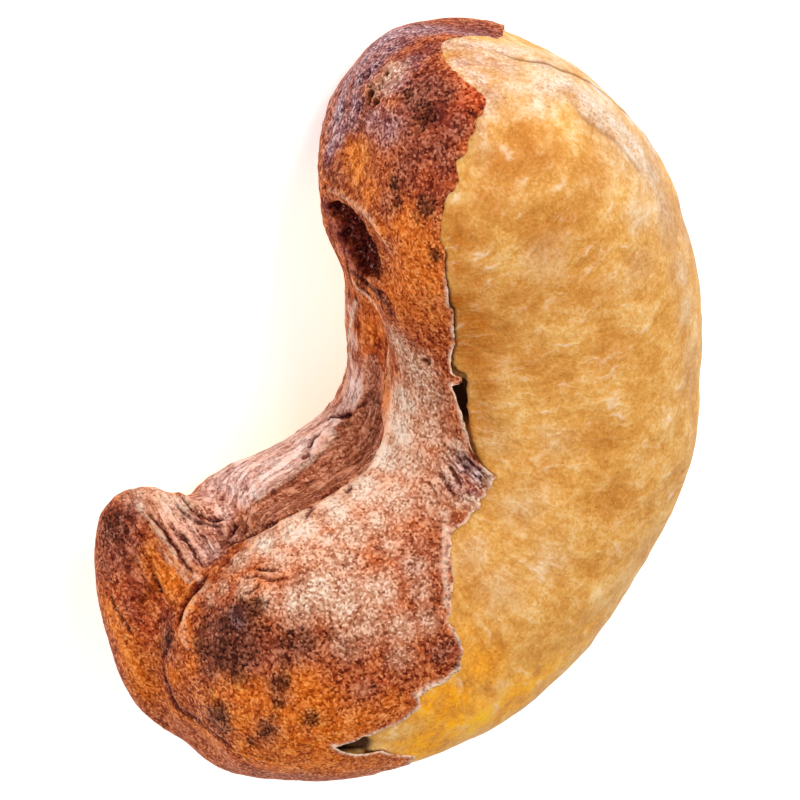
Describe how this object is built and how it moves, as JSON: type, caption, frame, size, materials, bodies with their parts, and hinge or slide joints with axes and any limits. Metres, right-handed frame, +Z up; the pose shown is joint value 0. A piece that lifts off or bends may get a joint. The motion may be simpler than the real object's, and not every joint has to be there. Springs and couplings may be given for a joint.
{
  "type": "roasted cashew nut",
  "caption": "Curved roasted cashew kernel lying on its flank, its golden seed halves bare on the round back and torn brown skin left on the hollow side and both ends.",
  "frame": {"origin": "under the middle of the nut's box, on the surface that it lies on", "axes": "+Z up; X along the nut from its blunt end to its knobbed end; +Y towards its round back, so that the hollow opens towards -Y"},
  "size_m": [0.0266, 0.0169, 0.0122],
  "materials": {
    "kernel_flesh": "dry roasted, slightly oily seed flesh, golden tan with cream on its back",
    "papery_skin": "thin wrinkled papery seed coat, red-brown with scorched spots and dusty ridges"
  },
  "bodies": {
    "root": {"kernel_half_upper": "kernel_flesh", "kernel_half_lower": "kernel_flesh", "skin": "papery_skin"}
  },
  "joints": []
}
